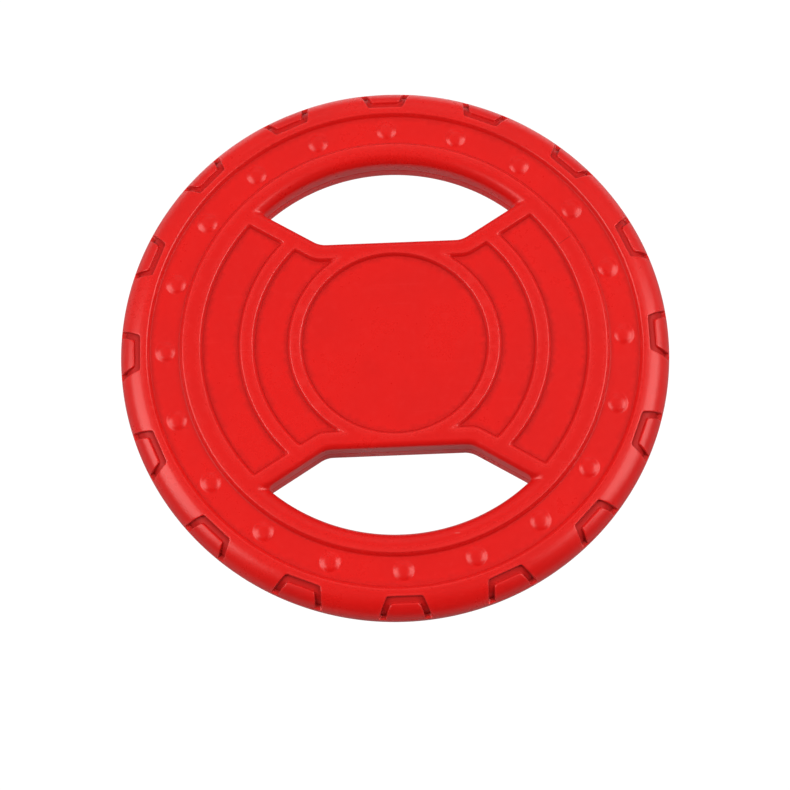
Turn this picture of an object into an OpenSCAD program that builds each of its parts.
// Flying ring, lawn games.
// Two moulded skins meet at a mid-height seam and hold a tread ring and two
// foam cores. The ring is the same on both sides. A bow-tie bridge crosses it,
// leaving a hand hole on each side. Origin: centre of the ring on the seam.
// +Z is up, the bridge runs along X and the hand holes lie at +Y and -Y.

/* [Overall] */
// Outside diameter over the rim
outer_d = 241; // [238:1:246]
// Thickness over the raised bands, which are the faces it rests on
thickness = 20; // [19:0.5:23]
// Radius of the round side of each hand hole
hole_r = 84; // [82:0.5:85]

/* [Rim and channel] */
// How far the top of the rim lies below the raised band
rim_drop = 0.4; // [0.2:0.1:1]
// Radius of the inner edge of the rim's flat top
rim_crest_r = 108; // [107:0.25:109]
// Depth of the channel below the raised band
channel_depth = 2.2; // [1.5:0.1:2.6]
// Outer radius of the channel floor
channel_out_r = 106.5; // [105:0.25:107]
// Inner radius of the channel floor
channel_in_r = 93.9; // [93:0.1:95]
// Outer radius of the raised band
band_out_r = 92.4; // [91.5:0.1:93]
// Radius of the large round-over on the hand hole side of the ring
hole_round = 5.5; // [4:0.5:6]

/* [Domes] */
// Number of domes in the channel, on each side
dome_count = 20; // [10:2:24]
// Radius of the circle the domes and the ring's locating posts stand on
dome_circle_r = 100; // [99:0.5:101]
// Radius of a dome at its foot
dome_r = 4.2; // [3:0.1:5]
// Height of a dome above the channel floor
dome_h = 1; // [0.6:0.1:1.8]

/* [Bridge] */
// Half the width of the straight middle of the bridge
bridge_half_w = 46.7; // [44:0.1:50]
// Half the length of the straight middle of the bridge
bridge_half_l = 31.5; // [28:0.5:36]
// Angle at which the bridge edges flare out to the ring, in degrees
flare = 31.5; // [28:0.5:34]
// Radius of the round-over on the bridge edges
bridge_round = 3; // [2:0.25:4]
// Width of the raised border along the bridge edges, with its round-over
border_w = 7; // [6:0.25:9]
// Depth of the recessed panels
panel_depth = 1.6; // [1:0.1:2]
// Inner and outer radius of the outer panels
outer_panel_r = [67, 84.8];
// Inner and outer radius of the inner panels
inner_panel_r = [45.6, 62];
// Radius of the round recess in the middle
centre_r = 41.2; // [39:0.1:43]

/* [Tread] */
// Number of tread lugs around the rim
lug_count = 16; // [12:1:18]
// Radius at which each window in the rim begins
window_in_r = 110.9; // [110:0.1:112]
// Width of each window at its inner end
window_in_w = 15.4; // [14:0.1:17]
// Width of each window at the rim's outside
window_out_w = 23.6; // [21:0.1:25]
// Height above the seam at which each window ends, leaving a plain band
window_low = 2.5; // [1.5:0.1:3.5]
// Radius at which each lug begins
lug_in_r = 114; // [113.5:0.1:115]
// Width of each lug at its inner end
lug_in_w = 12; // [10:0.1:12.5]
// Width of each lug at the rim's outside
lug_out_w = 17.6; // [15:0.1:18.5]
// How far the inner edge of a lug face lies below the rim surface
lug_drop = 1.1; // [0.6:0.1:1.4]
// How far the lug faces lie below the rim surface at the plain band
lug_sink = 0.1; // [0:0.05:0.3]

/* [Walls and inside] */
// Thickness of the skins
wall = 2; // [1.8:0.1:2.8]
// Thickness of the skins over the rim
rim_wall = 2; // [1.8:0.1:2.6]
// Thickness of the tread ring behind its lugs
tread_wall = 2; // [1.8:0.1:3]
// Clearance between the separate pieces
gap = 0.1; // [0.05:0.05:0.2]
// Clearance around the foam cores
foam_gap = 0.3; // [0.2:0.1:0.6]
// Number of locating posts in the ring
post_count = 10; // [6:2:12]
// Radius of a locating post
post_r = 2.4; // [2:0.1:2.8]
// Clearance of a locating post in its socket
post_gap = 0.1; // [0.05:0.05:0.2]
// Distance of the bridge's locating posts from the middle, along X
bridge_post_x = 53.5; // [52:0.5:55]
// Distance of the bridge's locating posts from the middle, along Y
bridge_post_y = 28; // [26:0.5:30]

/* [Hidden] */
$fn = 96;

skin_color = [0.87, 0.1, 0.09];
tread_color = [0.8, 0.08, 0.08];
foam_color = [0.93, 0.92, 0.88];

over = 1;    // overshoot of cuts and of sections that are trimmed later
join = 0.5;  // overlap that fuses touching shapes
far = 200;   // reaches beyond the whole ring

// Outside
outer_r = outer_d / 2;
half_h = thickness / 2;
rim_z = half_h - rim_drop;   // also the radius of the rounded rim
rim_centre_r = outer_r - rim_z;
channel_z = half_h - channel_depth;
panel_z = half_h - panel_depth;
dome_ball_r = (dome_r * dome_r + dome_h * dome_h) / (2 * dome_h);

// Sloped walls of the recesses
recess_foot = 0.9;   // outer wall: inset at the floor
recess_flare = 0.6;  // both walls: spread at the top of the cut
recess_over = 0.8;   // height of the cut above the face
island_foot = 1.3;   // inner wall: widening at the bottom of its cone

// Hollow
ring_cav_z = channel_z - wall;
bridge_cav_z = panel_z - wall;
bridge_wall = wall + 0.2;
rim_cav_r = rim_z - rim_wall;
cav_in_r = hole_r + wall;
cav_step_r = rim_crest_r + 0.8;

// Foam ring
core_in_r = cav_in_r + foam_gap;
core_out_r = cav_step_r - 1.5;

// Tread ring section, and the arc of the lug faces: it is centred on the seam
// plane and passes through the faces' outermost point and their inner edge
tread_r = rim_cav_r - gap;
lug_edge_z = sqrt(rim_z * rim_z - (lug_in_r - rim_centre_r) * (lug_in_r - rim_centre_r))
    - lug_drop;
lug_face_r = outer_r - lug_sink;
lug_centre_r = (lug_face_r * lug_face_r - lug_in_r * lug_in_r - lug_edge_z * lug_edge_z)
    / (2 * (lug_face_r - lug_in_r));

// Locating posts
post_top = 3.5;     // above the seam
socket_depth = 4;   // above the seam
socket_wall = 1.5;
socket_r = post_r + post_gap + socket_wall;
post_hole_r = socket_r + foam_gap;
ring_posts = [
    for (i = [0:post_count - 1])
        let (angle = (i + 0.5) * 360 / post_count)
            [dome_circle_r * cos(angle), dome_circle_r * sin(angle)]
];
bridge_posts = [for (sx = [-1, 1], sy = [-1, 1]) [sx * bridge_post_x, sy * bridge_post_y]];

// Distance of a flared edge from the origin, measured square to the edge
flare_offset = bridge_half_w * cos(flare) - bridge_half_l * sin(flare);

// Corner of the bridge outline where the straight edge meets the flare, moved in by inset
function corner_x(inset) = bridge_half_l + inset * tan(flare / 2);
function corner_y(inset) = bridge_half_w - inset;

// A point on the flared edge at x, moved in by inset
function flare_y(x, inset) = corner_y(inset) + (x - corner_x(inset)) * tan(flare);

// Copies spaced evenly around Z
module spread(count) {
    for (i = [0:count - 1])
        rotate([0, 0, i * 360 / count]) children();
}

// A copy at each [x, y] place
module at_places(places) {
    for (place = places)
        translate([place[0], place[1], 0]) children();
}

// Top half of the ring's section, from the hand hole wall to the rim
module ring_section() {
    round_r = hole_r + hole_round;
    round_z = half_h - hole_round;
    intersection() {
        union() {
            // hand hole wall and its round-over
            translate([hole_r, -over]) square([hole_round, round_z + over]);
            translate([round_r, round_z]) circle(r = hole_round);
            // raised band, channel and inner slope of the rim
            polygon([
                [round_r, -over], [round_r, half_h], [band_out_r, half_h],
                [channel_in_r, channel_z], [channel_out_r, channel_z],
                [rim_crest_r, rim_z], [rim_centre_r, rim_z], [rim_centre_r, -over]
            ]);
            // rounded rim
            translate([rim_centre_r, 0]) circle(r = rim_z);
        }
        translate([0, gap / 2]) square([outer_r + 10, half_h + 10]);
    }
}

// Section of the bridge square to an edge that lies at x = 0, with the material at -x
module edge_section() {
    translate([-far, gap / 2]) square([far, half_h - bridge_round - gap / 2]);
    translate([-far, gap / 2]) square([far - bridge_round, half_h - gap / 2]);
    intersection() {
        translate([-bridge_round, half_h - bridge_round]) circle(r = bridge_round);
        translate([-far, gap / 2]) square([far, half_h]);
    }
}

// A slab whose rounded edge lies at a distance from the origin, facing the given angle
module edge_slab(distance, angle) {
    rotate([0, 0, angle]) translate([distance, 0, 0]) rotate([90, 0, 0])
        translate([0, 0, -far]) linear_extrude(height = 2 * far) edge_section();
}

// The top half of the bridge
module bridge_half() {
    intersection() {
        union() {
            // straight middle
            intersection() {
                edge_slab(bridge_half_w, 90);
                edge_slab(bridge_half_w, -90);
            }
            // flared ends
            spread(2) intersection() {
                edge_slab(flare_offset, 90 + flare);
                edge_slab(flare_offset, -90 - flare);
                translate([0, -far, -over]) cube([far, 2 * far, half_h + 2 * over]);
            }
        }
        translate([0, 0, -over])
            cylinder(r = hole_r + hole_round + 1, h = half_h + 2 * over);
    }
}

// Outline of the bridge moved in from its edges, drawn out to the rim's radius
module bridge_outline(inset) {
    x = corner_x(inset);
    y = corner_y(inset);
    end_y = flare_y(outer_r, inset);
    polygon([
        [-outer_r, -end_y], [-x, -y], [x, -y], [outer_r, -end_y],
        [outer_r, end_y], [x, y], [-x, y], [-outer_r, end_y]
    ]);
}

// Round recess with a sloped wall, cut down to the panel floor
module round_recess(radius) {
    translate([0, 0, panel_z])
        cylinder(r1 = radius - recess_foot, r2 = radius + recess_flare,
            h = panel_depth + recess_over);
}

// Recessed panels between two radii, one at +X and one at -X
module panel_pair(radii) {
    intersection() {
        difference() {
            round_recess(radii[1]);
            translate([0, 0, panel_z - over])
                cylinder(r1 = radii[0] + island_foot, r2 = radii[0] - recess_flare,
                    h = panel_depth + 2 * over);
        }
        translate([0, 0, panel_z - over]) linear_extrude(height = panel_depth + 3 * over)
            bridge_outline(border_w);
    }
}

// Outer half of a circle on the rim's centre, with a little overlap inwards
module rim_round(radius) {
    intersection() {
        translate([rim_centre_r, 0]) circle(r = radius);
        translate([rim_centre_r - join, -half_h]) square([outer_r, 2 * half_h]);
    }
}

// Hollow inside the top skin, reaching a little below the seam
module cavity_half() {
    rotate_extrude() intersection() {
        union() {
            translate([cav_in_r, -over])
                square([cav_step_r - cav_in_r + over, ring_cav_z + over]);
            translate([cav_step_r, -over])
                square([rim_centre_r - cav_step_r, rim_cav_r + over]);
            rim_round(rim_cav_r);
        }
        translate([0, -over]) square([outer_r, half_h + over]);
    }
    translate([0, 0, -over]) intersection() {
        linear_extrude(height = bridge_cav_z + over) bridge_outline(bridge_wall);
        cylinder(r = cav_in_r + 2, h = bridge_cav_z + over);
    }
}

// Window or lug outline that widens along +X, drawn out past the rim
module taper(in_r, in_w, out_w) {
    slope = (out_w - in_w) / (outer_r - in_r) / 2;
    end_r = outer_r + 4;
    end_y = in_w / 2 + slope * (end_r - in_r);
    polygon([[in_r, -in_w / 2], [end_r, -end_y], [end_r, end_y], [in_r, in_w / 2]]);
}

// Top skin without its posts or sockets
module skin_half() {
    difference() {
        union() {
            rotate_extrude() ring_section();
            bridge_half();
            spread(dome_count)
                translate([dome_circle_r, 0, channel_z + dome_h - dome_ball_r])
                    sphere(r = dome_ball_r);
        }
        cavity_half();
        panel_pair(outer_panel_r);
        panel_pair(inner_panel_r);
        round_recess(centre_r);
        // tread windows
        spread(lug_count) translate([0, 0, window_low]) linear_extrude(height = half_h)
            taper(window_in_r, window_in_w, window_out_w);
        // everything below the seam clearance
        translate([-far, -far, -far]) cube([2 * far, 2 * far, far + gap / 2]);
    }
}

// Solid socket columns from the seam into a skin whose hollow ends at cav_z
module socket_columns(places, cav_z) {
    at_places(places) translate([0, 0, gap / 2]) cylinder(r = socket_r, h = cav_z + join);
}

// Locating posts on the bottom skin, each with a thicker column up to the seam
module post_columns(places, cav_z) {
    at_places(places) translate([0, 0, -cav_z - join]) {
        cylinder(r = post_r, h = cav_z + join + post_top);
        cylinder(r = socket_r, h = cav_z + join - gap / 2);
    }
}

// Top skin, with a socket for each locating post
module upper_shell() {
    color(skin_color) difference() {
        union() {
            skin_half();
            socket_columns(ring_posts, ring_cav_z);
            socket_columns(bridge_posts, bridge_cav_z);
        }
        at_places(concat(ring_posts, bridge_posts)) translate([0, 0, -over])
            cylinder(r = post_r + post_gap, h = socket_depth + over);
    }
}

// Bottom skin, with the locating posts
module lower_shell() {
    color(skin_color) union() {
        mirror([0, 0, 1]) skin_half();
        post_columns(ring_posts, ring_cav_z);
        post_columns(bridge_posts, bridge_cav_z);
    }
}

// Section of the tread ring behind the lugs, open towards the middle
module tread_section() {
    inner_z = tread_r - tread_wall;
    difference() {
        union() {
            translate([cav_step_r + gap, -tread_r])
                square([rim_centre_r - cav_step_r - gap, 2 * tread_r]);
            rim_round(tread_r);
        }
        translate([cav_step_r - over, -inner_z])
            square([rim_centre_r - cav_step_r + over, 2 * inner_z]);
        translate([rim_centre_r, 0]) circle(r = inner_z);
    }
}

// Section of the lugs, above and below the rim's plain band
module lug_section() {
    band_z = window_low + gap;
    intersection() {
        difference() {
            translate([lug_centre_r, 0]) circle(r = lug_face_r - lug_centre_r);
            translate([rim_centre_r, 0]) circle(r = tread_r - tread_wall / 2);
            translate([rim_centre_r, -band_z]) square([half_h + 5, 2 * band_z]);
        }
        translate([lug_in_r - 2, -half_h]) square([outer_r, 2 * half_h]);
    }
}

// Ring inside the rim whose lugs stand in the windows on both sides
module tread_ring() {
    color(tread_color) {
        rotate_extrude() tread_section();
        for (i = [0:lug_count - 1]) intersection() {
            rotate_extrude() lug_section();
            rotate([0, 0, i * 360 / lug_count]) translate([0, 0, -half_h])
                linear_extrude(height = 2 * half_h) taper(lug_in_r, lug_in_w, lug_out_w);
        }
    }
}

// Holes through a foam core around the locating posts
module foam_holes(places) {
    at_places(places) translate([0, 0, -half_h]) cylinder(r = post_hole_r, h = 2 * half_h);
}

// Foam ring under the channel
module rim_core() {
    core_z = ring_cav_z - foam_gap;
    color(foam_color) difference() {
        rotate_extrude() translate([core_in_r, -core_z])
            square([core_out_r - core_in_r, 2 * core_z]);
        foam_holes(ring_posts);
    }
}

// Foam pad that fills the bridge
module bridge_core() {
    core_z = bridge_cav_z - foam_gap;
    color(foam_color) difference() {
        intersection() {
            translate([0, 0, -core_z]) linear_extrude(height = 2 * core_z)
                bridge_outline(bridge_wall + foam_gap);
            translate([0, 0, -half_h]) cylinder(r = cav_in_r - foam_gap, h = 2 * half_h);
        }
        foam_holes(bridge_posts);
    }
}

upper_shell();
lower_shell();
tread_ring();
rim_core();
bridge_core();
